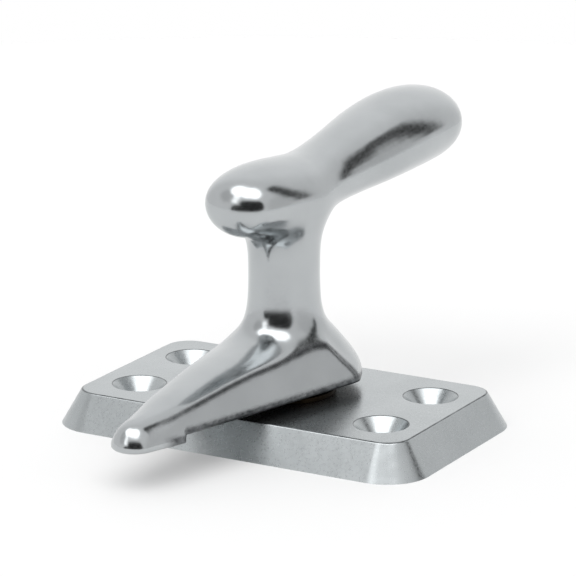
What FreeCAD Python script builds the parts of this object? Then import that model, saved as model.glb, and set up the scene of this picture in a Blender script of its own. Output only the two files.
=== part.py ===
import FreeCAD, Part
import math
import os

# Cockspur window handle: a cast handle that turns on a four-hole base plate.
# Frame: the origin is on the pivot axis at the plate's back face. +Z points away from the window
# frame, X runs along the plate and -Y is the side that the spur hooks over.

# ---- driving dimensions, mm ----
HANDLE_YAW = 6.0  # how far the handle is turned at rest, degrees, spur towards -X

PLATE_LENGTH = 56.0  # top face
PLATE_WIDTH = 32.2
PLATE_THICKNESS = 5.4
PLATE_FLARE = 3.1  # how far each side slopes out from the top face to the back face
PLATE_CORNER_TOP = 3.7
PLATE_CORNER_BACK = 6.8
PLATE_EDGE_ROUND = 0.4

HOLE_SPACING_X = 42.0
HOLE_SPACING_Y = 16.0
HOLE_RADIUS = 2.15
SINK_RADIUS = 4.2  # 90 degree countersink
SINK_LIP = 0.25

RECESS_RADIUS = 9.0  # round recess in the plate's back for the spring
RECESS_DEPTH = 2.9

SPINDLE_RADIUS = 4.0
SPINDLE_DEPTH_IN_HUB = 13.0
STUB_RADIUS = 3.0
STUB_FLAT = 2.4  # distance of the stub's two flats from its axis
RUNNING_GAP = 0.05  # shaft fits and the thrust faces
BUSH_WALL = 1.2
BUSH_FLANGE_RADIUS = 8.0
BUSH_FLANGE = 0.8
WASHER_RADIUS = 7.6

HUB_BOTTOM = 7.0  # underside of the hub, above the plate's back face
TIP_BOTTOM = 5.9  # underside of the spur's tip
STEP_REACH = 31.0  # where the underside drops to the tip, beyond the plate's corners
STEP_LENGTH = 0.5
SPUR_TIP_CENTRE = 37.4
SPUR_TIP_RADIUS = 3.6
SPUR_HEEL = 15.0  # the side faces run back past the hub
SPUR_HALF_WIDTH = 9.6  # at the underside, level with the axis
SIDE_DRAFT = 15.0  # the side faces lean in, degrees
SPUR_CREASE_TOP = 14.2  # where the side faces end in the hub

# The hub and neck are ovals, longer along the handle than across it:
# height, half width across the handle.
NECK_STATIONS = (
    (HUB_BOTTOM, 11.3),
    (8.6, 11.3),
    (10.4, 10.4),
    (12.4, 9.0),
    (14.3, 7.6),
    (16.0, 6.3),
    (18.0, 5.5),
    (21.0, 5.15),
    (26.0, 5.1),
    (30.0, 5.35),
    (32.5, 5.8),
    (35.0, 6.0),
)
NECK_ASPECT = 1.2

# The spur's top edge: distance from the axis towards the tip, height.
SPUR_TOP = ((-2.0, 14.0), (5.0, 13.7), (12.0, 12.9), (19.0, 12.0), (26.0, 11.0), (33.0, 9.9))
SPUR_TOP_END = 9.1

# The lever, nose to grip: distance along the handle, half width.
LEVER_STATIONS = (
    (-10.2, 6.4),
    (-6.8, 6.85),
    (-2.5, 6.65),
    (3.0, 6.0),
    (9.0, 6.05),
    (16.0, 6.65),
    (23.0, 7.5),
    (30.0, 7.95),
    (35.6, 7.5),
)
LEVER_HEIGHT = 36.8  # centre line at the nose and over the neck
LEVER_RISE = 3.7  # how much higher the centre line is in the grip
RISE_END = 35.0  # where the rise that starts over the pivot ends
LEVER_THICKNESS_RATIO = 0.8  # lever height over its width
NOSE_REACH = 15.4
GRIP_REACH = 43.4
END_STEPS = 6  # points on each rounded end

AXIS = FreeCAD.Vector(0, 0, 1)
ORIGIN = FreeCAD.Vector(0, 0, 0)


def vec(x, y, z):
    return FreeCAD.Vector(x, y, z)


def rod(radius, bottom, top):
    return Part.makeCylinder(radius, top - bottom, vec(0, 0, bottom))


def ring(outer, inner, bottom, top):
    return rod(outer, bottom, top).cut(rod(inner, bottom - 1.0, top + 1.0))


def rounded_rectangle(length, width, corner, z):
    """Closed wire of a rectangle with round corners, centred on the axis."""
    x, y = length / 2.0, width / 2.0
    diagonal = corner * (1.0 - math.sqrt(0.5))
    edges = []
    for turn in range(4):
        half_run, half_side = (x, y) if turn % 2 == 0 else (y, x)
        start = vec(-half_run + corner, -half_side, z)
        end = vec(half_run - corner, -half_side, z)
        bend = vec(half_run - diagonal, -half_side + diagonal, z)
        after = vec(half_run, -half_side + corner, z)
        quarter = [Part.makeLine(start, end), Part.Arc(end, bend, after).toShape()]
        for edge in quarter:
            edge.rotate(ORIGIN, AXIS, 90.0 * turn)
        edges.extend(quarter)
    return Part.Wire(edges)


def hole_places():
    return [(sx * HOLE_SPACING_X / 2.0, sy * HOLE_SPACING_Y / 2.0) for sx in (-1, 1) for sy in (-1, 1)]


def countersunk_hole(x, y):
    """A through hole with a 90 degree countersink and a narrow softened lip."""
    top = PLATE_THICKNESS
    sink_depth = SINK_RADIUS - HOLE_RADIUS
    profile = [
        vec(0, 0, -1.0),
        vec(HOLE_RADIUS, 0, -1.0),
        vec(HOLE_RADIUS, 0, top - sink_depth - SINK_LIP / 2.0),
        vec(SINK_RADIUS, 0, top - SINK_LIP / 2.0),
        vec(SINK_RADIUS + SINK_LIP, 0, top),
        vec(SINK_RADIUS + SINK_LIP, 0, top + 1.0),
        vec(0, 0, top + 1.0),
    ]
    face = Part.Face(Part.makePolygon(profile + profile[:1]))
    hole = face.revolve(ORIGIN, AXIS, 360.0)
    hole.translate(vec(x, y, 0))
    return hole


def base_plate():
    """Plate with sloping sides, countersunk holes, the bush's bore and the spring recess."""
    back = rounded_rectangle(
        PLATE_LENGTH + 2 * PLATE_FLARE, PLATE_WIDTH + 2 * PLATE_FLARE, PLATE_CORNER_BACK, 0.0
    )
    top = rounded_rectangle(PLATE_LENGTH, PLATE_WIDTH, PLATE_CORNER_TOP, PLATE_THICKNESS)
    plate = Part.makeLoft([back, top], True, True)
    rim = [e for e in plate.Edges if min(v.Point.z for v in e.Vertexes) > PLATE_THICKNESS - 0.01]
    plate = plate.makeFillet(PLATE_EDGE_ROUND, rim)
    for x, y in hole_places():
        plate = plate.cut(countersunk_hole(x, y))
    plate = plate.cut(rod(SPINDLE_RADIUS + RUNNING_GAP + BUSH_WALL, -1.0, PLATE_THICKNESS + 1.0))
    return plate.cut(rod(RECESS_RADIUS, -1.0, RECESS_DEPTH))


def pivot_bush():
    """Flanged bush: the barrel is pressed in the plate, the flange carries the thrust washer."""
    bore = SPINDLE_RADIUS + RUNNING_GAP
    barrel = ring(bore + BUSH_WALL, bore, RECESS_DEPTH, PLATE_THICKNESS)
    flange = ring(BUSH_FLANGE_RADIUS, bore, PLATE_THICKNESS, PLATE_THICKNESS + BUSH_FLANGE)
    return barrel.fuse(flange).removeSplitter()


def thrust_washer():
    bottom = PLATE_THICKNESS + BUSH_FLANGE + RUNNING_GAP
    return ring(WASHER_RADIUS, SPINDLE_RADIUS, bottom, HUB_BOTTOM)


# The stack in the back recess, from its floor outwards.
BACK_WASHER_BOTTOM = RECESS_DEPTH - 0.5
SPRING_BOTTOM = BACK_WASHER_BOTTOM - 0.8
KEYED_WASHER_TOP = SPRING_BOTTOM - RUNNING_GAP
KEYED_WASHER_BOTTOM = KEYED_WASHER_TOP - 0.7
PEEN_BOTTOM = KEYED_WASHER_BOTTOM - 0.55


def back_washer():
    return ring(RECESS_RADIUS - 0.3, SPINDLE_RADIUS + 0.3, BACK_WASHER_BOTTOM, RECESS_DEPTH)


def wave_spring():
    """Three-wave ring spring, loaded to the height of its gap."""
    strip, inner, outer, waves, steps = 0.3, 5.2, 8.2, 3, 36
    middle = (SPRING_BOTTOM + BACK_WASHER_BOTTOM) / 2.0
    rise = (BACK_WASHER_BOTTOM - SPRING_BOTTOM - strip) / 2.0
    radius = (inner + outer) / 2.0
    points = []
    for step in range(steps):
        angle = 2.0 * math.pi * step / steps
        height = middle + rise * math.sin(waves * angle)
        points.append(vec(radius * math.cos(angle), radius * math.sin(angle), height))
    path = Part.BSplineCurve()
    path.interpolate(Points=points, PeriodicFlag=True)
    half = (outer - inner) / 2.0
    corners = [
        vec(radius - half, 0, middle - strip / 2.0),
        vec(radius + half, 0, middle - strip / 2.0),
        vec(radius + half, 0, middle + strip / 2.0),
        vec(radius - half, 0, middle + strip / 2.0),
    ]
    sweep = Part.BRepOffsetAPI.MakePipeShell(Part.Wire(path.toShape()))
    sweep.setBiNormalMode(AXIS)
    sweep.add(Part.makePolygon(corners + corners[:1]))
    sweep.build()
    sweep.makeSolid()
    return sweep.shape()


def flatted_stub(radius, flat, bottom, top):
    """A short round stub with two flats, which keys the washer to the spindle."""
    block = Part.makeBox(2 * flat, 4 * radius, top - bottom, vec(-flat, -2 * radius, bottom))
    return rod(radius, bottom, top).common(block)


def keyed_washer():
    slot = flatted_stub(STUB_RADIUS, STUB_FLAT, KEYED_WASHER_BOTTOM - 1.0, KEYED_WASHER_TOP + 1.0)
    return on_handle(rod(8.0, KEYED_WASHER_BOTTOM, KEYED_WASHER_TOP).cut(slot))


def pivot_spindle():
    """Pin from deep in the hub to its peened head behind the keyed washer."""
    pin = rod(SPINDLE_RADIUS, KEYED_WASHER_TOP, HUB_BOTTOM + SPINDLE_DEPTH_IN_HUB)
    stub = flatted_stub(STUB_RADIUS, STUB_FLAT, KEYED_WASHER_BOTTOM, KEYED_WASHER_TOP)
    head = Part.makeCone(3.4, 4.3, KEYED_WASHER_BOTTOM - PEEN_BOTTOM, vec(0, 0, PEEN_BOTTOM))
    return on_handle(pin.fuse(stub).fuse(head).removeSplitter())


def on_handle(shape):
    """Turn a shape drawn along the Y axis to the handle's place at rest."""
    turned = shape.copy()
    turned.rotate(ORIGIN, AXIS, -HANDLE_YAW)
    return turned


def stretched(shape, across, along, up):
    """Scale a shape by a different factor along each axis."""
    matrix = FreeCAD.Matrix()
    matrix.scale(across, along, up)
    return shape.transformGeometry(matrix)


def neck():
    """Oval bell of the hub, drawn in to the neck and flared again under the lever."""
    rim, flare = NECK_STATIONS[0], NECK_STATIONS[1:]
    side = Part.BSplineCurve()
    side.interpolate([vec(half, 0, height) for height, half in flare])
    top = flare[-1]
    corners = [vec(top[1], 0, top[0]), vec(0, 0, top[0]), vec(0, 0, rim[0]), vec(rim[1], 0, rim[0])]
    corners.append(vec(flare[0][1], 0, flare[0][0]))
    edges = [side.toShape()] + [Part.makeLine(a, b) for a, b in zip(corners, corners[1:])]
    face = Part.Face(Part.Wire(Part.__sortEdges__(edges)))
    return stretched(face.revolve(ORIGIN, AXIS, 360.0), 1.0, NECK_ASPECT, 1.0)


def spur_outline(inset, z):
    """Plan of the spur and hub: straight sides that close in to a round tip."""
    reach = SPUR_TIP_CENTRE
    tip = SPUR_TIP_RADIUS - inset
    side = SPUR_HALF_WIDTH - inset
    slope = math.asin((SPUR_HALF_WIDTH - SPUR_TIP_RADIUS) / reach)
    touch_x, touch_y = tip * math.cos(slope), -reach - tip * math.sin(slope)
    heel_half = side + SPUR_HEEL * math.tan(slope)
    left, right = vec(-touch_x, touch_y, z), vec(touch_x, touch_y, z)
    heel_left, heel_right = vec(-heel_half, SPUR_HEEL, z), vec(heel_half, SPUR_HEEL, z)
    nose = Part.Arc(left, vec(0, -reach - tip, z), right).toShape()
    return Part.Wire(
        [Part.makeLine(heel_left, left), nose, Part.makeLine(right, heel_right), Part.makeLine(heel_right, heel_left)]
    )


def wedge_block():
    """The space between the leaning side faces, from below the tip to the top of the side faces."""
    lean = math.tan(math.radians(SIDE_DRAFT))
    bottom = spur_outline((TIP_BOTTOM - HUB_BOTTOM) * lean, TIP_BOTTOM)
    top = spur_outline((SPUR_CREASE_TOP - HUB_BOTTOM) * lean, SPUR_CREASE_TOP)
    return Part.makeLoft([bottom, top], True, True)


def spur():
    """The spur's side view, pushed across the handle; the side faces trim it later."""
    tip_end = -(SPUR_TIP_CENTRE + SPUR_TIP_RADIUS + 2.0)
    crest = Part.BSplineCurve()
    crest.interpolate([vec(0, -reach, height) for reach, height in SPUR_TOP])
    crest_end = vec(0, -SPUR_TOP[-1][0], SPUR_TOP[-1][1])
    outline = [
        vec(0, tip_end, SPUR_TOP_END),
        vec(0, tip_end, TIP_BOTTOM),
        vec(0, -STEP_REACH - STEP_LENGTH, TIP_BOTTOM),
        vec(0, -STEP_REACH, HUB_BOTTOM),
        vec(0, -SPUR_TOP[0][0], HUB_BOTTOM),
        vec(0, -SPUR_TOP[0][0], SPUR_TOP[0][1]),
    ]
    edges = [crest.toShape(), Part.makeLine(crest_end, outline[0])]
    edges += [Part.makeLine(a, b) for a, b in zip(outline, outline[1:])]
    face = Part.Face(Part.Wire(Part.__sortEdges__(edges)))
    face.translate(vec(-20.0, 0, 0))
    return face.extrude(vec(40.0, 0, 0))


def spine_height(place):
    """Height of the lever's centre line: level over the neck, then a smooth rise to the grip."""
    share = min(max(place / RISE_END, 0.0), 1.0)
    return LEVER_HEIGHT + LEVER_RISE * share * share * (3.0 - 2.0 * share)


def rounded_end(station, reach):
    """Points of a quarter ellipse from a lever station out to the end on the centre line."""
    place, half = station
    points = []
    for step in range(1, END_STEPS + 1):
        angle = math.radians(90.0 * step / END_STEPS)
        points.append(vec(half * math.cos(angle), place + (reach - place) * math.sin(angle), 0))
    return points


def lever():
    """Nose, waist and pear-shaped grip: a turned form, flattened and bent to its rising centre line."""
    profile = rounded_end(LEVER_STATIONS[0], -NOSE_REACH)[::-1]
    profile += [vec(half, place, 0) for place, half in LEVER_STATIONS]
    profile += rounded_end(LEVER_STATIONS[-1], GRIP_REACH)
    side = Part.BSplineCurve()
    side.interpolate(profile)
    skin = side.toShape().revolve(ORIGIN, vec(0, 1, 0), 360.0).toNurbs().Faces[0].Surface
    for row, poles in enumerate(skin.getPoles()):
        for column, pole in enumerate(poles):
            height = pole.z * LEVER_THICKNESS_RATIO + spine_height(pole.y)
            skin.setPole(row + 1, column + 1, vec(pole.x, pole.y, height))
    return Part.Solid(Part.Shell([skin.toShape()]))


def handle_casting():
    """Grip, neck, hub and spur as the one casting that they are."""
    bell = neck()
    big = 60.0
    above = Part.makeBox(2 * big, 2 * big, big, vec(-big, -big, SPUR_CREASE_TOP))
    foot = bell.fuse(spur()).common(wedge_block())
    casting = foot.fuse(bell.common(above)).fuse(lever()).removeSplitter()
    socket = rod(SPINDLE_RADIUS, HUB_BOTTOM - 1.0, HUB_BOTTOM + SPINDLE_DEPTH_IN_HUB)
    return on_handle(casting.cut(socket).Solids[0])


def main():
    os.makedirs("parts", exist_ok=True)
    nodes = {
        "base_plate": base_plate(),
        "pivot_bush": pivot_bush(),
        "back_washer": back_washer(),
        "wave_spring": wave_spring(),
        "handle_casting": handle_casting(),
        "pivot_spindle": pivot_spindle(),
        "thrust_washer": thrust_washer(),
        "keyed_washer": keyed_washer(),
    }
    for name, shape in nodes.items():
        shape.exportStep(os.path.join("parts", name + ".step"))


main()
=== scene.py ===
import math

import bmesh
import bpy
import numpy as np
from mathutils import Matrix, Vector


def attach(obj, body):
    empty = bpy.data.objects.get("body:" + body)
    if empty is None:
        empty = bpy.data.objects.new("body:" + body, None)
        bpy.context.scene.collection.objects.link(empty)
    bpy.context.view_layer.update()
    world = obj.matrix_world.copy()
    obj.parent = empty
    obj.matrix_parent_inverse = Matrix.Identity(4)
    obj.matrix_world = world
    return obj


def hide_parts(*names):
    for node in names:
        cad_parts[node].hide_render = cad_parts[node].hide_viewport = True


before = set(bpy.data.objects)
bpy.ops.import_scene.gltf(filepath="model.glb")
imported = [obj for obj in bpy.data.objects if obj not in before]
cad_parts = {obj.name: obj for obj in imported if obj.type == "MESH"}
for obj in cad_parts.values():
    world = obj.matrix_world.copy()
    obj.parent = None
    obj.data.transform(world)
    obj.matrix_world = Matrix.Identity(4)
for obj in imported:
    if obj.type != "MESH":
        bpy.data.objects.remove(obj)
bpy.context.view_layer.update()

# Cockspur window handle. Sizes are in millimetres and become metres when a mesh is made.
# The handle is drawn along its own Y axis, spur towards -Y, and then turned to its place at rest.

MM = 0.001
HANDLE_YAW = math.radians(-6.0)

# ---- handle casting ----
HUB_BOTTOM = 7.0
TIP_BOTTOM = 5.9
STEP_REACH = 31.0
STEP_LENGTH = 0.5
TIP_CENTRE = 37.4
TIP_RADIUS = 3.7
SPUR_HALF_WIDTH = 9.6
SIDE_DRAFT = math.radians(15.0)
DRAFT_TOP = 16.0
SPUR_TOP = (  # distance in front of the pivot, height of the side edge of the crown
    (-2.0, 13.3), (3.0, 13.5), (7.0, 13.4), (12.0, 13.1), (18.6, 12.4), (25.0, 11.4), (29.4, 10.7),
    (33.2, 10.1), (38.0, 9.7),
)
SPUR_CROWN_SLOPE = 0.5
CROWN_LEAST_HALF = 2.5
NECK_STATIONS = (  # height, half width across the handle, half width along it
    (7.0, 11.1, 13.7), (8.6, 10.6, 13.7), (10.4, 9.4, 13.0), (12.4, 8.1, 11.3), (14.3, 7.0, 9.4),
    (16.0, 6.1, 7.7), (18.0, 5.5, 6.6), (21.0, 5.15, 6.18), (26.0, 5.1, 6.12), (30.0, 5.35, 6.42),
    (32.5, 5.8, 6.96), (35.0, 6.0, 7.2), (37.5, 4.9, 5.88),
)
NECK_CROWN = 39.8
LEVER_STATIONS = (  # place along the handle, half width
    (-10.2, 6.4), (-6.8, 6.85), (-2.5, 6.65), (3.0, 6.0), (9.0, 6.05), (16.0, 6.65), (23.0, 7.5),
    (30.0, 7.83), (35.6, 7.47),
)
LEVER_HEIGHT = 36.8
LEVER_RISE = 3.62
RISE_END = 35.0
LEVER_RATIO = 0.8
NOSE_REACH = 15.4
GRIP_REACH = 43.4
SOCKET_RADIUS = 4.0
SOCKET_TOP = 20.0
LEVER_FILLET = 5.0
SPUR_FILLET = 3.0
HEEL_TOP = 14.2
HEEL_NORMAL = (0.813, 0.582)  # along the handle and upwards
CREASE_ROUND = 1.2
TIP_ROUND = 4.6
TIP_ROUND_START = 28.0
TIP_ROUND_RUN = 11.0
RIM_ROUND = 1.0
TIP_RIM_EXTRA = 1.2
NET_STEP = 0.36
NET_LOW = (-12.57, -42.63, 5.11)
NET_HIGH = (12.5, 44.5, 48.0)
# CREASE_LINE, RIM_PROBE and TIP_FADE size the painted shade line along the creases and lower rim;
# UNDERSIDE_END is where the near-black painted shade of the underside stops.
CREASE_LINE = 0.55
RIM_PROBE = 0.8
TIP_FADE = 33.0
UNDERSIDE_END = 19.0

# ---- base plate ----
PLATE_LENGTH = 56.0
PLATE_WIDTH = 32.2
PLATE_THICKNESS = 5.4
PLATE_FLARE = 3.1
CORNER_TOP = 3.7
CORNER_BACK = 6.8
EDGE_ROUND = 0.45
HOLE_SPACING = (42.0, 16.0)
HOLE_RADIUS = 2.15
SINK_RADIUS = 4.2
LIP_ROUND = 0.3
RECESS_RADIUS = 9.0
RECESS_DEPTH = 2.9
BORE_RADIUS = 5.25

# ---- small pieces of the pivot; heights are above the plate's back face ----
BUSH_HOLE = 4.05
FLANGE_RADIUS = 8.0
FLANGE_TOP = 6.2
THRUST_RADIUS = 7.6
THRUST_HOLE = 4.02
THRUST_BOTTOM = 6.25
BACK_WASHER_RADIUS = 8.7
BACK_WASHER_HOLE = 4.3
BACK_WASHER_BOTTOM = 2.4
SPRING_RADIUS = 8.2
SPRING_HOLE = 5.2
SPRING_LEVELS = (1.85, 2.15)
SPRING_WAVE = 0.25
KEYED_RADIUS = 8.0
KEYED_LEVELS = (0.85, 1.55)
STUB_RADIUS = 3.0
STUB_FLAT = 2.4
HEAD_STATIONS = (  # radius and height of the spindle's hammered head
    (0.8, 0.33), (2.0, 0.30), (3.1, 0.32), (3.7, 0.42), (4.15, 0.62), (4.25, 0.76), (4.2, 0.84), (3.3, 0.85),
)
PIN_STATIONS = ((3.75, 1.56), (3.98, 1.75), (3.98, 19.6), (3.7, 19.9), (1.0, 19.95))


class Curve:
    """Smooth curve through (place, value) points, straight on beyond its ends."""

    def __init__(self, points, first_slope=None, last_slope=None):
        self.place = np.array([p[0] for p in points], float)
        self.value = np.array([p[1] for p in points], float)
        count = len(points)
        run = np.diff(self.place)
        rise = np.diff(self.value) / run
        lhs = np.zeros((count, count))
        rhs = np.zeros(count)
        for i in range(1, count - 1):
            lhs[i, i - 1 : i + 2] = run[i], 2 * (run[i - 1] + run[i]), run[i - 1]
            rhs[i] = 3 * (run[i] * rise[i - 1] + run[i - 1] * rise[i])
        lhs[0, :2] = (2, 1) if first_slope is None else (1, 0)
        rhs[0] = 3 * rise[0] if first_slope is None else first_slope
        lhs[-1, -2:] = (1, 2) if last_slope is None else (0, 1)
        rhs[-1] = 3 * rise[-1] if last_slope is None else last_slope
        self.slope = np.linalg.solve(lhs, rhs)

    def __call__(self, where):
        """Value and slope at each place."""
        held = np.clip(where, self.place[0], self.place[-1])
        i = np.clip(np.searchsorted(self.place, held) - 1, 0, len(self.place) - 2)
        run = self.place[i + 1] - self.place[i]
        t = (held - self.place[i]) / run
        step = self.value[i + 1] - self.value[i]
        first = self.slope[i] * run
        last = self.slope[i + 1] * run
        square = 3 * step - 2 * first - last
        cube = first + last - 2 * step
        value = self.value[i] + t * (first + t * (square + t * cube))
        slope = (first + t * (2 * square + 3 * t * cube)) / run
        return value + slope * (where - held), slope


def ease(t):
    t = np.clip(t, 0.0, 1.0)
    return t * t * (3.0 - 2.0 * t)


def blend_min(a, b, reach):
    """Lower of two fields, rounded where they are within reach of each other."""
    share = np.maximum(reach - np.abs(a - b), 0.0) / reach
    return np.minimum(a, b) - reach * share**3 / 6.0


def blend_max(a, b, reach):
    return -blend_min(-a, -b, reach)


def square_curve(points, ends=()):
    """Curve of squared half widths. An end is (place, station): the form closes there in an ellipse."""
    squares = [(place, half * half) for place, half in points]
    slopes = [None, None]
    for place, (station, half) in ends:
        slope = 2.0 * half * half / (station - place)
        if place < station:
            squares.insert(0, (place, 0.0))
            slopes[0] = slope
        else:
            squares.append((place, 0.0))
            slopes[1] = slope
    return Curve(squares, *slopes)


LEVER_HALF_HEIGHTS = [(y, LEVER_RATIO * half) for y, half in LEVER_STATIONS]
LEVER_SQUARE = square_curve(
    LEVER_HALF_HEIGHTS, ((-NOSE_REACH, LEVER_HALF_HEIGHTS[0]), (GRIP_REACH, LEVER_HALF_HEIGHTS[-1]))
)
NECK_SQUARE = Curve([(z, across**2) for z, across, along in NECK_STATIONS] + [(NECK_CROWN, 0.0)])
NECK_ASPECT = Curve([(z, along / across) for z, across, along in NECK_STATIONS])
CREST = Curve(SPUR_TOP)


def lever_field(x, y, z):
    """Nose, waist and grip about the rising centre line."""
    share = np.clip(y / RISE_END, 0.0, 1.0)
    up = z - LEVER_HEIGHT - LEVER_RISE * share * share * (3.0 - 2.0 * share)
    tilt = 6.0 * LEVER_RISE * share * (1.0 - share) / RISE_END
    square, slope = LEVER_SQUARE(y)
    across = LEVER_RATIO * x
    steep = (2 * LEVER_RATIO * across) ** 2 + (2 * up) ** 2 + (2 * up * tilt + slope) ** 2 + 1.0
    return (across**2 + up**2 - square) / np.sqrt(steep)


def neck_field(x, y, z):
    """Oval hub bell, drawn in to the neck and closed inside the lever."""
    held = np.maximum(z, HUB_BOTTOM)
    square, slope = NECK_SQUARE(held)
    aspect, aspect_slope = NECK_ASPECT(np.clip(z, HUB_BOTTOM, NECK_STATIONS[-1][0]))
    along = y / aspect
    rise = slope + 2.0 * along * along * aspect_slope / aspect
    steep = (2 * x) ** 2 + (2 * along / aspect) ** 2 + rise**2 + 1.0
    return (x * x + along * along - square) / np.sqrt(steep)


def side_field(x, y, z):
    """Leaning side faces of the spur and hub, closing in to the round tip."""
    lean_in = (SPUR_HALF_WIDTH - TIP_RADIUS) / TIP_CENTRE
    straight = math.sqrt(1.0 - lean_in * lean_in)
    past = y + TIP_CENTRE
    half = np.abs(x)
    flat = half * straight - y * lean_in - SPUR_HALF_WIDTH
    tip = np.hypot(x, past) - TIP_RADIUS
    plan = np.where(half * lean_in + past * straight < 0.0, tip, flat)
    rise = np.minimum(z, DRAFT_TOP) - HUB_BOTTOM
    return (plan + rise * math.tan(SIDE_DRAFT)) * math.cos(SIDE_DRAFT)


def spur_field(x, y, z):
    """Everything under the spur's crowned top, in front of the slanting heel edge."""
    top, slope = CREST(-y)
    taper = (SPUR_HALF_WIDTH - TIP_RADIUS) / TIP_CENTRE
    half = SPUR_HALF_WIDTH - (top - HUB_BOTTOM) * math.tan(SIDE_DRAFT) + y * taper
    half = np.maximum(half, CROWN_LEAST_HALF)
    lift = 0.5 * SPUR_CROWN_SLOPE * (half - x * x / half)
    across = SPUR_CROWN_SLOPE * x / half
    over = (z - top - lift) / np.sqrt(1.0 + slope**2 + across**2)
    heel = HEEL_NORMAL[0] * y + HEEL_NORMAL[1] * (z - HEEL_TOP)
    return blend_max(over, heel, CREASE_ROUND)


def casting_field(x, y, z):
    """Below zero inside the casting; near its surface, about the distance from it in millimetres."""
    towards_tip = ease((-y - TIP_ROUND_START) / TIP_ROUND_RUN)
    foot = blend_min(neck_field(x, y, z), spur_field(x, y, z), SPUR_FILLET)
    foot = blend_max(foot, side_field(x, y, z), CREASE_ROUND + (TIP_ROUND - CREASE_ROUND) * towards_tip)
    body = blend_min(foot, lever_field(x, y, z), LEVER_FILLET)
    drop = ease((-y - STEP_REACH) / STEP_LENGTH)
    underside = HUB_BOTTOM + (TIP_BOTTOM - HUB_BOTTOM) * drop
    body = blend_max(body, underside - z, RIM_ROUND + TIP_RIM_EXTRA * towards_tip)
    return np.maximum(body, np.minimum(SOCKET_RADIUS - np.hypot(x, y), SOCKET_TOP - z))


def surface_net(field, low, high, step):
    """Closed quad mesh of a field's zero surface on an even grid."""
    axes = [np.arange(a, b + step, step) for a, b in zip(low, high)]
    grid = np.meshgrid(*axes, indexing="ij")
    values = field(*grid)
    cells = tuple(n - 1 for n in values.shape)
    total = np.zeros(cells + (3,))
    hits = np.zeros(cells)
    crossings = []
    for axis in range(3):
        first = [slice(None)] * 3
        second = [slice(None)] * 3
        first[axis] = slice(0, -1)
        second[axis] = slice(1, None)
        a = values[tuple(first)]
        b = values[tuple(second)]
        cut = np.argwhere((a < 0.0) != (b < 0.0))
        start = a[tuple(cut.T)]
        share = start / (start - b[tuple(cut.T)])
        point = cut.astype(float)
        point[:, axis] += share
        crossings.append((cut, start < 0.0))
        others = [k for k in range(3) if k != axis]
        for da in (-1, 0):
            for db in (-1, 0):
                cell = cut.copy()
                cell[:, others[0]] += da
                cell[:, others[1]] += db
                good = np.all((cell >= 0) & (cell < cells), axis=1)
                where = tuple(cell[good].T)
                np.add.at(total, where, point[good])
                np.add.at(hits, where, 1.0)
    used = hits > 0.0
    number = np.full(cells, -1)
    number[used] = np.arange(used.sum())
    points = total[used] / hits[used][:, None] * step + np.array(low)
    quads = []
    for axis, (cut, outward) in enumerate(crossings):
        u, v = [(1, 2), (2, 0), (0, 1)][axis]
        corners = []
        for du, dv in ((-1, -1), (0, -1), (0, 0), (-1, 0)):
            cell = cut.copy()
            cell[:, u] += du
            cell[:, v] += dv
            corners.append(number[tuple(cell.T)])
        faces = np.stack(corners, axis=1)
        faces[~outward] = faces[~outward][:, ::-1]
        quads.append(faces)
    return points, np.concatenate(quads)


def gradient(field, points, reach=0.02):
    slopes = []
    for axis in range(3):
        ahead = points.copy()
        behind = points.copy()
        ahead[:, axis] += reach
        behind[:, axis] -= reach
        slopes.append((field(*ahead.T) - field(*behind.T)) / (2 * reach))
    return np.stack(slopes, axis=1)


def settle(field, points, rounds=4):
    """Move points on to the field's zero surface and return them with their unit normals."""
    for _ in range(rounds):
        slope = gradient(field, points)
        value = field(*points.T)
        size = np.maximum((slope**2).sum(axis=1), 0.05)
        move = -(value / size)[:, None] * slope
        points = points + np.clip(move, -0.2, 0.2)
    slope = gradient(field, points)
    return points, slope / np.linalg.norm(slope, axis=1)[:, None]


def edge_line(points, normals):
    """Painted shade line: one along the side faces' creases and the lower rim, fading before the tip."""
    x, y, z = points.T
    foot = blend_min(neck_field(x, y, z), spur_field(x, y, z), SPUR_FILLET)
    apart = np.abs(foot - side_field(x, y, z))
    crease = 1.0 - ease(apart / CREASE_LINE)
    depth = -casting_field(*(points - normals * RIM_PROBE).T)
    rim = ease((RIM_PROBE - depth - 0.03) / 0.16) * ease((HUB_BOTTOM + 1.5 - z) / 0.5)
    fade = 1.0 - ease((-y - TIP_FADE) / 3.0)
    return np.maximum(crease, rim) * fade


def under_hub(points, normals):
    """One on the rough underside that faces the plate, zero from there to the tip; there the casting is
    painted near black as shade in the gap over the plate.
    """
    downwards = ease(-normals[:, 2] / 0.5)
    low = ease((HUB_BOTTOM + 1.0 - points[:, 2]) / 0.5)
    over_plate = ease((points[:, 1] + UNDERSIDE_END) / 3.0)
    return downwards * low * over_plate


def paint(mesh, name, values):
    """Store one number per vertex for the materials."""
    layer = mesh.attributes.new(name, "FLOAT", "POINT")
    layer.data.foreach_set("value", np.asarray(values, np.float32))


def link(mesh, name):
    obj = bpy.data.objects.new(name, mesh)
    bpy.context.scene.collection.objects.link(obj)
    return obj


def make_casting():
    points, quads = surface_net(casting_field, NET_LOW, NET_HIGH, NET_STEP)
    points, normals = settle(casting_field, points)
    turn = np.array(Matrix.Rotation(HANDLE_YAW, 3, "Z"))
    mesh = bpy.data.meshes.new("casting")
    mesh.from_pydata((points @ turn.T * MM).tolist(), [], quads.tolist())
    mesh.shade_smooth()
    mesh.normals_split_custom_set_from_vertices((normals @ turn.T).tolist())
    paint(mesh, "edge", edge_line(points, normals))
    paint(mesh, "rough_cast_and_shade", under_hub(points, normals))
    return link(mesh, "casting")


def round_rectangle(length, width, corner, height, steps=10):
    """Points of a rectangle with round corners at one height."""
    points = []
    for turn, (sx, sy) in enumerate(((1, 1), (-1, 1), (-1, -1), (1, -1))):
        centre = (sx * (length / 2 - corner), sy * (width / 2 - corner))
        for step in range(steps + 1):
            angle = math.radians(90 * turn + 90 * step / steps)
            x = centre[0] + corner * math.cos(angle)
            y = centre[1] + corner * math.sin(angle)
            points.append((x, y, height))
    return points


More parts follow.
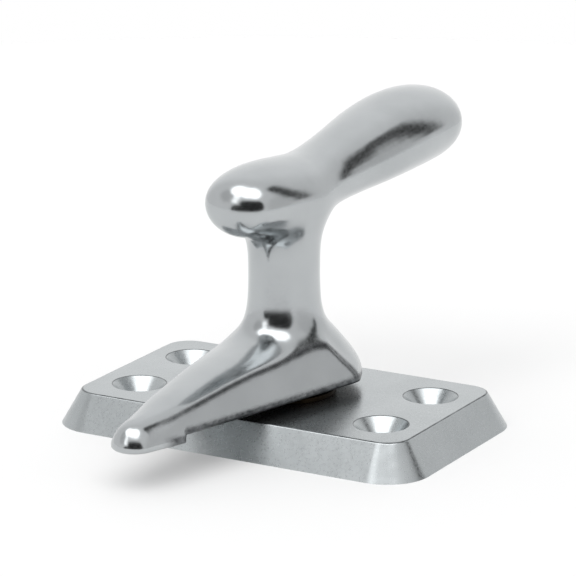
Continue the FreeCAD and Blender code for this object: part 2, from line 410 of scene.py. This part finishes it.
def skin_rings(rings, name):
    """Closed mesh through rings of points, with a flat cap on the first and last."""
    bm = bmesh.new()
    made = [[bm.verts.new(Vector(p) * MM) for p in ring] for ring in rings]
    for low, high in zip(made, made[1:]):
        for i in range(len(low)):
            j = (i + 1) % len(low)
            bm.faces.new((low[i], low[j], high[j], high[i]))
    bm.faces.new(made[0][::-1])
    bm.faces.new(made[-1])
    mesh = bpy.data.meshes.new(name)
    bm.to_mesh(mesh)
    bm.free()
    return link(mesh, name)


def plate_body():
    """Sloping sides with a soft rim at the top."""
    lean = math.atan2(PLATE_FLARE, PLATE_THICKNESS)
    turn = math.pi / 2 - lean
    rings = []
    levels = [(0.0, PLATE_FLARE)]
    tangent = EDGE_ROUND * math.tan(turn / 2)
    levels.append((PLATE_THICKNESS - tangent * math.cos(lean), tangent * math.sin(lean)))
    for step in range(1, 7):
        angle = turn * step / 6
        out = tangent * math.sin(lean) - EDGE_ROUND * (math.cos(lean) - math.cos(lean + angle))
        up = EDGE_ROUND * (math.sin(lean + angle) - math.sin(lean))
        levels.append((PLATE_THICKNESS - tangent * math.cos(lean) + up, out))
    for height, out in levels:
        share = height / PLATE_THICKNESS
        corner = CORNER_BACK + (CORNER_TOP - CORNER_BACK) * share
        rings.append(round_rectangle(PLATE_LENGTH + 2 * out, PLATE_WIDTH + 2 * out, corner, height))
    return skin_rings(rings, "plate_body")


def lathe(profile, name, segments=72):
    """Closed turned solid about the Z axis from (radius, height) points, listed from bottom to top."""
    rings = []
    for radius, height in profile:
        ring = []
        for i in range(segments):
            angle = 2 * math.pi * i / segments
            ring.append((radius * math.cos(angle), radius * math.sin(angle), height))
        rings.append(ring)
    return skin_rings(rings, name)


def cut(body, tool):
    """Take the tool's space out of the body and drop the tool."""
    step = body.modifiers.new("cut", "BOOLEAN")
    step.operation = "DIFFERENCE"
    step.solver = "EXACT"
    step.object = tool
    bpy.context.view_layer.update()
    made = bpy.data.meshes.new_from_object(body.evaluated_get(bpy.context.evaluated_depsgraph_get()))
    body.modifiers.clear()
    body.data = made
    bpy.data.objects.remove(tool)


def even_normals(obj):
    """Smooth shading in which the large flat faces stay flat and hard edges stay sharp."""
    obj.data.shade_smooth()
    obj.data.set_sharp_from_angle(angle=math.radians(32))
    step = obj.modifiers.new("normals", "WEIGHTED_NORMAL")
    step.weight = 80
    step.keep_sharp = True
    bpy.context.view_layer.update()
    made = bpy.data.meshes.new_from_object(obj.evaluated_get(bpy.context.evaluated_depsgraph_get()))
    obj.modifiers.clear()
    obj.data = made


def sink_profile():
    """A countersunk hole with a rounded lip."""
    top = PLATE_THICKNESS
    depth = SINK_RADIUS - HOLE_RADIUS
    points = [(HOLE_RADIUS, -1.0), (HOLE_RADIUS, top - depth - 0.12)]
    reach = LIP_ROUND * math.tan(math.radians(22.5))
    for step in range(6):
        angle = math.radians(45 - 40 * step / 5)
        radius = SINK_RADIUS + reach - LIP_ROUND * math.sin(angle)
        height = top - LIP_ROUND + LIP_ROUND * math.cos(angle)
        points.append((radius, height))
    points.append((points[-1][0] + 0.3, top + 0.4))
    return points


def make_plate():
    plate = plate_body()
    plate.name = "plate"
    for sx in (-1, 1):
        for sy in (-1, 1):
            tool = lathe(sink_profile(), "sink")
            tool.location = Vector((sx * HOLE_SPACING[0] / 2, sy * HOLE_SPACING[1] / 2, 0)) * MM
            cut(plate, tool)
    cut(plate, lathe([(BORE_RADIUS, 1.0), (BORE_RADIUS, PLATE_THICKNESS + 1.0)], "bore"))
    cut(plate, lathe([(RECESS_RADIUS, -1.0), (RECESS_RADIUS, RECESS_DEPTH)], "recess"))
    even_normals(plate)
    return plate


def round_corners(profile, radius, steps=4):
    """Closed (radius, height) outline with each corner turned into a short arc."""
    points = []
    count = len(profile)
    for i, here in enumerate(profile):
        corner = np.array(here, float)
        before = np.array(profile[i - 1], float) - corner
        after = np.array(profile[(i + 1) % count], float) - corner
        before /= np.linalg.norm(before)
        after /= np.linalg.norm(after)
        half = 0.5 * math.acos(float(np.clip(before @ after, -1.0, 1.0)))
        centre = corner + (before + after) / np.linalg.norm(before + after) * radius / math.sin(half)
        start = corner + before * radius / math.tan(half) - centre
        end = corner + after * radius / math.tan(half) - centre
        for step in range(steps + 1):
            share = step / steps
            arm = start * (1.0 - share) + end * share
            points.append(tuple(centre + arm * radius / np.linalg.norm(arm)))
    return points


def flatted(radius, flat, angle):
    """Radius of a round with two flats at that distance from its axis."""
    return min(radius, flat / max(abs(math.cos(angle)), 1e-6))


def turned_ring(profile, name, segments=96, wave=0.0, flat=None, turn=0.0):
    """Closed ring swept round the Z axis, lifted three times round by wave, with two flats in its hole."""
    bm = bmesh.new()
    loops = []
    hole = min(radius for radius, height in profile) + 0.3
    for i in range(segments):
        angle = 2 * math.pi * i / segments
        loop = []
        for radius, height in profile:
            reach = flatted(radius, flat, angle) if flat and radius < hole else radius
            lift = wave * math.sin(3 * angle)
            place = (reach * math.cos(angle + turn), reach * math.sin(angle + turn), height + lift)
            loop.append(bm.verts.new(Vector(place) * MM))
        loops.append(loop)
    for i in range(segments):
        this = loops[i]
        other = loops[(i + 1) % segments]
        for j in range(len(profile)):
            k = (j + 1) % len(profile)
            bm.faces.new((this[j], this[k], other[k], other[j]))
    bmesh.ops.recalc_face_normals(bm, faces=bm.faces)
    mesh = bpy.data.meshes.new(name)
    bm.to_mesh(mesh)
    bm.free()
    obj = link(mesh, name)
    even_normals(obj)
    return obj


def washer_profile(outer, inner, bottom, top):
    return [(inner, bottom), (outer, bottom), (outer, top), (inner, top)]


def make_bush():
    profile = [
        (BUSH_HOLE, RECESS_DEPTH), (BORE_RADIUS, RECESS_DEPTH), (BORE_RADIUS, PLATE_THICKNESS),
        (FLANGE_RADIUS, PLATE_THICKNESS), (FLANGE_RADIUS, FLANGE_TOP), (BUSH_HOLE, FLANGE_TOP),
    ]
    return turned_ring(round_corners(profile, 0.12), "bush")


def make_thrust_washer():
    profile = washer_profile(THRUST_RADIUS, THRUST_HOLE, THRUST_BOTTOM, HUB_BOTTOM)
    return turned_ring(round_corners(profile, 0.15), "washer_front")


def make_back_washer():
    profile = washer_profile(BACK_WASHER_RADIUS, BACK_WASHER_HOLE, BACK_WASHER_BOTTOM, RECESS_DEPTH)
    return turned_ring(round_corners(profile, 0.1), "washer_back")


def make_spring():
    profile = washer_profile(SPRING_RADIUS, SPRING_HOLE, *SPRING_LEVELS)
    return turned_ring(round_corners(profile, 0.1, 3), "spring_ring", 180, wave=SPRING_WAVE)


def make_keyed_washer():
    profile = washer_profile(KEYED_RADIUS, STUB_RADIUS, *KEYED_LEVELS)
    return turned_ring(round_corners(profile, 0.1), "washer_keyed", 120, flat=STUB_FLAT, turn=HANDLE_YAW)


def make_spindle(segments=96):
    """Pin with a flatted stub and a hammered, domed head behind the keyed washer."""
    stub_bottom = KEYED_LEVELS[0] + 0.01
    stub_top = KEYED_LEVELS[1] - 0.01
    stations = [(radius, height, None) for radius, height in HEAD_STATIONS]
    stations += [(STUB_RADIUS, stub_bottom, STUB_FLAT), (STUB_RADIUS, stub_top, STUB_FLAT)]
    stations += [(radius, height, None) for radius, height in PIN_STATIONS]
    rings = []
    for radius, height, flat in stations:
        ring = []
        for i in range(segments):
            angle = 2 * math.pi * i / segments
            reach = flatted(radius, flat, angle) if flat else radius
            turned = angle + HANDLE_YAW
            ring.append((reach * math.cos(turned), reach * math.sin(turned), height))
        rings.append(ring)
    spindle = skin_rings(rings, "spindle")
    even_normals(spindle)
    return spindle


# ---- materials ----


def new_material(name):
    material = bpy.data.materials.new(name)
    material.use_nodes = True
    return material, material.node_tree, material.node_tree.nodes["Principled BSDF"]


def noise(tree, scale, detail=3.0, rough=0.5, coord=None):
    node = tree.nodes.new("ShaderNodeTexNoise")
    node.inputs["Scale"].default_value = scale
    node.inputs["Detail"].default_value = detail
    node.inputs["Roughness"].default_value = rough
    if coord is not None:
        tree.links.new(coord, node.inputs["Vector"])
    return node.outputs["Fac"]


def spread(tree, value, low, high, start=0.3, stop=0.7):
    """Map a noise value to low..high."""
    node = tree.nodes.new("ShaderNodeMapRange")
    node.inputs["From Min"].default_value = start
    node.inputs["From Max"].default_value = stop
    node.inputs["To Min"].default_value = low
    node.inputs["To Max"].default_value = high
    tree.links.new(value, node.inputs["Value"])
    return node.outputs["Result"]


def mix_colour(tree, share, first, second):
    node = tree.nodes.new("ShaderNodeMix")
    node.data_type = "RGBA"
    node.inputs[6].default_value = (*first, 1.0)
    node.inputs[7].default_value = (*second, 1.0)
    tree.links.new(share, node.inputs["Factor"])
    return node.outputs[2]


def bump(tree, height, strength, distance, under=None):
    node = tree.nodes.new("ShaderNodeBump")
    node.inputs["Strength"].default_value = strength
    node.inputs["Distance"].default_value = distance
    tree.links.new(height, node.inputs["Height"])
    if under is not None:
        tree.links.new(under, node.inputs["Normal"])
    return node.outputs["Normal"]


def attribute(tree, name):
    node = tree.nodes.new("ShaderNodeAttribute")
    node.attribute_name = name
    return node.outputs["Fac"]


def blend_values(tree, share, first, second):
    """A number that goes from first to second; each is a socket or a number."""
    node = tree.nodes.new("ShaderNodeMix")
    for socket, value in zip(node.inputs[2:4], (first, second)):
        if isinstance(value, float):
            socket.default_value = value
        else:
            tree.links.new(value, socket)
    tree.links.new(share, node.inputs["Factor"])
    return node.outputs[0]


def blend_colours(tree, share, first, second):
    """A colour that goes from the first socket to a second fixed colour."""
    node = tree.nodes.new("ShaderNodeMix")
    node.data_type = "RGBA"
    tree.links.new(first, node.inputs[6])
    node.inputs[7].default_value = (*second, 1.0)
    tree.links.new(share, node.inputs["Factor"])
    return node.outputs[2]


# Painted shade: the near-black colour of the dark lines along the casting's creases and rims and the plate's
# rims.
EDGE_SHADE_COLOUR = (0.03, 0.032, 0.036)


def plate_rims(tree):
    """One on the rounded rims of the plate and its holes, from how steeply the surface tips: where the
    painted shade line goes.
    """
    normal = tree.nodes.new("ShaderNodeNewGeometry").outputs["True Normal"]
    parts = tree.nodes.new("ShaderNodeSeparateXYZ")
    tree.links.new(normal, parts.inputs["Vector"])
    tipped = spread(tree, parts.outputs["Z"], 0.0, 1.0, 0.73, 0.78)
    level = spread(tree, parts.outputs["Z"], 1.0, 0.0, 0.96, 0.99)
    return blend_values(tree, tipped, 0.0, level)


def satin_metal(name, dark, light, rough, edge_mask, fine_bump, underside_shade_mask=None):
    """Plated casting: clouded colour and gloss, a cast ripple, fine grain and painted shade lines along its
    edges; with a mask, a rough underside painted near black as shade.
    """
    material, tree, shader = new_material(name)
    shader.inputs["Metallic"].default_value = 1.0
    coord = tree.nodes.new("ShaderNodeTexCoord").outputs["Object"]
    broad = noise(tree, 90.0, 4.0, 0.55, coord)
    fine = noise(tree, 2600.0, 3.0, 0.6, coord)
    colour = mix_colour(tree, spread(tree, broad, 0.0, 1.0), dark, light)
    roughness = spread(tree, fine, *rough)
    edge = edge_mask(tree)
    patchy = spread(tree, noise(tree, 700.0, 3.0, 0.6, coord), 0.55, 0.95)
    edge = blend_values(tree, edge, 0.0, patchy)
    # Painted shade: the masked edges darken towards a near-black line.
    colour = blend_colours(tree, edge, colour, EDGE_SHADE_COLOUR)
    roughness = blend_values(tree, edge, roughness, 0.34)
    # Painted shade: the rough underside over the plate turns near black.
    if underside_shade_mask:
        underside_shade = attribute(tree, underside_shade_mask)
        colour = blend_colours(tree, underside_shade, colour, (0.03, 0.03, 0.032))
        roughness = blend_values(tree, underside_shade, roughness, 0.6)
    tree.links.new(colour, shader.inputs["Base Color"])
    tree.links.new(roughness, shader.inputs["Roughness"])
    ripple = bump(tree, noise(tree, 160.0, 2.0, 0.5, coord), 0.12, 0.0006)
    tree.links.new(bump(tree, fine, fine_bump, 0.00006, ripple), shader.inputs["Normal"])
    return material


def casting_edges(tree):
    return attribute(tree, "edge")


def plated_plate():
    dark = (0.415, 0.44, 0.45)
    light = (0.47, 0.495, 0.505)
    return satin_metal("plated_plate", dark, light, (0.25, 0.34), plate_rims, 0.03)


def plated_handle():
    dark = (0.425, 0.445, 0.455)
    light = (0.48, 0.50, 0.51)
    return satin_metal("plated_handle", dark, light, (0.15, 0.22), casting_edges, 0.08, "rough_cast_and_shade")


def plain_metal(name, dark, light, rough, grain, patch, depth):
    """Turned or rolled metal: blotched colour, uneven gloss and a fine grain."""
    material, tree, shader = new_material(name)
    shader.inputs["Metallic"].default_value = 1.0
    coord = tree.nodes.new("ShaderNodeTexCoord").outputs["Object"]
    blotch = noise(tree, patch, 5.0, 0.6, coord)
    fine = noise(tree, grain, 3.0, 0.6, coord)
    colour = mix_colour(tree, spread(tree, blotch, 0.0, 1.0), dark, light)
    tree.links.new(colour, shader.inputs["Base Color"])
    tree.links.new(spread(tree, fine, rough - 0.08, rough + 0.1), shader.inputs["Roughness"])
    tree.links.new(bump(tree, fine, 0.5, depth), shader.inputs["Normal"])
    return material


def moulded_plastic(name, dark, light):
    """Dull plastic with a faint cloud in its colour and a fine moulded grain."""
    material, tree, shader = new_material(name)
    shader.inputs["Specular IOR Level"].default_value = 0.45
    coord = tree.nodes.new("ShaderNodeTexCoord").outputs["Object"]
    cloud = noise(tree, 500.0, 4.0, 0.6, coord)
    fine = noise(tree, 5000.0, 2.0, 0.5, coord)
    colour = mix_colour(tree, spread(tree, cloud, 0.0, 1.0), dark, light)
    tree.links.new(colour, shader.inputs["Base Color"])
    tree.links.new(spread(tree, fine, 0.34, 0.5), shader.inputs["Roughness"])
    tree.links.new(bump(tree, fine, 0.3, 0.00002), shader.inputs["Normal"])
    return material


def dress(obj, material):
    obj.data.materials.clear()
    obj.data.materials.append(material)


# Painted shade: the bush is near black so its flange reads as shade in the gap under the hub.
def shade_dark_bronze():
    dark = (0.012, 0.009, 0.006)
    light = (0.03, 0.021, 0.013)
    return plain_metal("bronze_bush", dark, light, 0.55, 3500.0, 480.0, 0.00006)


def zinc_steel():
    dark = (0.46, 0.47, 0.48)
    light = (0.60, 0.59, 0.55)
    return plain_metal("zinc_steel", dark, light, 0.36, 2400.0, 280.0, 0.00004)


def zinc_steel_keyed():
    dark = (0.44, 0.46, 0.48)
    light = (0.60, 0.58, 0.52)
    return plain_metal("zinc_steel_keyed", dark, light, 0.38, 2600.0, 280.0, 0.00004)


def spring_steel():
    dark = (0.17, 0.18, 0.21)
    light = (0.30, 0.27, 0.22)
    return plain_metal("spring_steel", dark, light, 0.30, 3000.0, 280.0, 0.00004)


def spindle_steel():
    dark = (0.36, 0.36, 0.37)
    light = (0.48, 0.48, 0.49)
    return plain_metal("spindle_steel", dark, light, 0.32, 900.0, 360.0, 0.00008)


def black_acetal():
    return moulded_plastic("acetal_washer", (0.010, 0.010, 0.011), (0.018, 0.018, 0.020))


# ---- the pieces: shape, material, body, the CAD node it stands for, material slot ----
PIECES = (
    (make_plate, plated_plate, "base", "base_plate", "plated_plate"),
    (make_bush, shade_dark_bronze, "base", "pivot_bush", "bronze_bush"),
    (make_back_washer, zinc_steel, "base", "back_washer", "zinc_steel"),
    (make_spring, spring_steel, "base", "wave_spring", "spring_steel"),
    (make_casting, plated_handle, "handle", "handle_casting", "plated_handle"),
    (make_spindle, spindle_steel, "handle", "pivot_spindle", "spindle_steel"),
    (make_thrust_washer, black_acetal, "handle", "thrust_washer", "acetal_washer"),
    (make_keyed_washer, zinc_steel_keyed, "handle", "keyed_washer", "zinc_steel"),
)

for make_shape, make_material, body, node, slot in PIECES:
    piece = make_shape()
    dress(piece, make_material())
    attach(piece, body)
    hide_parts(node)

# ---- floor, light and camera ----


def direction(azimuth, elevation):
    """Unit vector; azimuth 0 is towards -Y and 90 towards +X, in degrees."""
    a = math.radians(azimuth)
    e = math.radians(elevation)
    return Vector((math.sin(a) * math.cos(e), -math.cos(a) * math.cos(e), math.sin(e)))


FLOOR_RADIUS = 0.28
FLOOR_COLOUR = (0.66, 0.66, 0.66, 1.0)
FLOOR_GLOW = 0.2


def make_floor():
    bm = bmesh.new()
    bmesh.ops.create_circle(bm, cap_ends=True, segments=128, radius=FLOOR_RADIUS)
    mesh = bpy.data.meshes.new("floor")
    bm.to_mesh(mesh)
    bm.free()
    floor = link(mesh, "floor")
    material, tree, shader = new_material("floor_white")
    shader.inputs["Base Color"].default_value = FLOOR_COLOUR
    shader.inputs["Roughness"].default_value = 0.9
    shader.inputs["Specular IOR Level"].default_value = 0.0
    shader.inputs["Emission Color"].default_value = (1.0, 1.0, 1.0, 1.0)
    shader.inputs["Emission Strength"].default_value = FLOOR_GLOW
    dress(floor, material)


DARK_PANEL = (
    (-8, -2), (6, -1), (20, 2), (34, 4), (48, 7), (58, 9),
    (56, 18), (42, 20), (26, 20), (12, 18),
)

# Studio light. Each row: the (azimuth, elevation) places of one patch, the angle from a place within which
# it is even, the angle at which it has faded out, and its brightness. A later patch covers an earlier one.
LIGHT_PATCHES = (
    (((-152, 28),), 22, 50, 1.08),  # fill from behind left
    (((108, 6),), 12, 30, 0.74),  # greyer right side
    (((-42, 34),), 14, 25, 0.66),  # greyer front left
    (((-22, 62), (15, 64), (52, 62)), 16, 23, 2.8),  # long softbox overhead
    (((-17, 25), (-16, 38)), 5, 10, 2.2),  # narrow softbox in front
    (DARK_PANEL, 12, 17, 0.02),
    (((129, 47), (129, 38), (129, 29), (130, 20)), 4, 10, 0.0),  # dark strip behind right
    (((133, 12), (134, 5)), 2, 8, 0.05),  # its thin lower end
)
SURROUND = 0.9
BRIGHTEST = 3.0


def make_studio():
    world = bpy.data.worlds.new("studio")
    world.use_nodes = True
    bpy.context.scene.world = world
    tree = world.node_tree
    link_nodes = tree.links.new
    background = tree.nodes["Background"]
    coord = tree.nodes.new("ShaderNodeTexCoord").outputs["Generated"]

    def math_node(kind, *inputs):
        node = tree.nodes.new("ShaderNodeMath")
        node.operation = kind
        for socket, value in zip(node.inputs, inputs):
            if isinstance(value, (int, float)):
                socket.default_value = value
            else:
                link_nodes(value, socket)
        return node.outputs[0]

    def nearness(azimuth, elevation):
        node = tree.nodes.new("ShaderNodeVectorMath")
        node.operation = "DOT_PRODUCT"
        link_nodes(coord, node.inputs[0])
        node.inputs[1].default_value = direction(azimuth, elevation)
        return node.outputs["Value"]

    level = None
    for places, inner, outer, brightness in LIGHT_PATCHES:
        near = None
        for place in places:
            this = nearness(*place)
            near = this if near is None else math_node("MAXIMUM", near, this)
        node = tree.nodes.new("ShaderNodeMapRange")
        node.interpolation_type = "SMOOTHSTEP"
        node.inputs["From Min"].default_value = math.cos(math.radians(outer))
        node.inputs["From Max"].default_value = math.cos(math.radians(inner))
        link_nodes(near, node.inputs["Value"])
        share = node.outputs["Result"]
        before = SURROUND if level is None else level
        kept = math_node("MULTIPLY", before, math_node("SUBTRACT", 1.0, share))
        level = math_node("ADD", kept, math_node("MULTIPLY", share, brightness))
    # What the camera sees directly is plain white, at level 1. Elsewhere BRIGHTEST is the most.
    path = tree.nodes.new("ShaderNodeLightPath").outputs["Is Camera Ray"]
    level = math_node("MAXIMUM", level, path)
    cap = math_node("ADD", BRIGHTEST, math_node("MULTIPLY", path, 1.0 - BRIGHTEST))
    level = math_node("MINIMUM", level, cap)
    link_nodes(level, background.inputs["Strength"])
    background.inputs["Color"].default_value = (1.0, 1.0, 1.0, 1.0)


CAMERA_PLACE = Vector((0.2796, -0.4982, 0.1834))
CAMERA_AIM = Vector((-0.00259, 0.00580, 0.01971))


def make_camera():
    data = bpy.data.cameras.new("camera")
    data.lens = 244.7
    data.sensor_width = 36.0
    data.clip_start = 0.02
    data.clip_end = 20.0
    camera = bpy.data.objects.new("camera", data)
    bpy.context.scene.collection.objects.link(camera)
    camera.location = CAMERA_PLACE
    camera.rotation_mode = "QUATERNION"
    camera.rotation_quaternion = (CAMERA_AIM - CAMERA_PLACE).to_track_quat("-Z", "Y")
    bpy.context.scene.camera = camera


make_floor()
make_studio()
make_camera()
bpy.context.scene.view_settings.view_transform = "Standard"
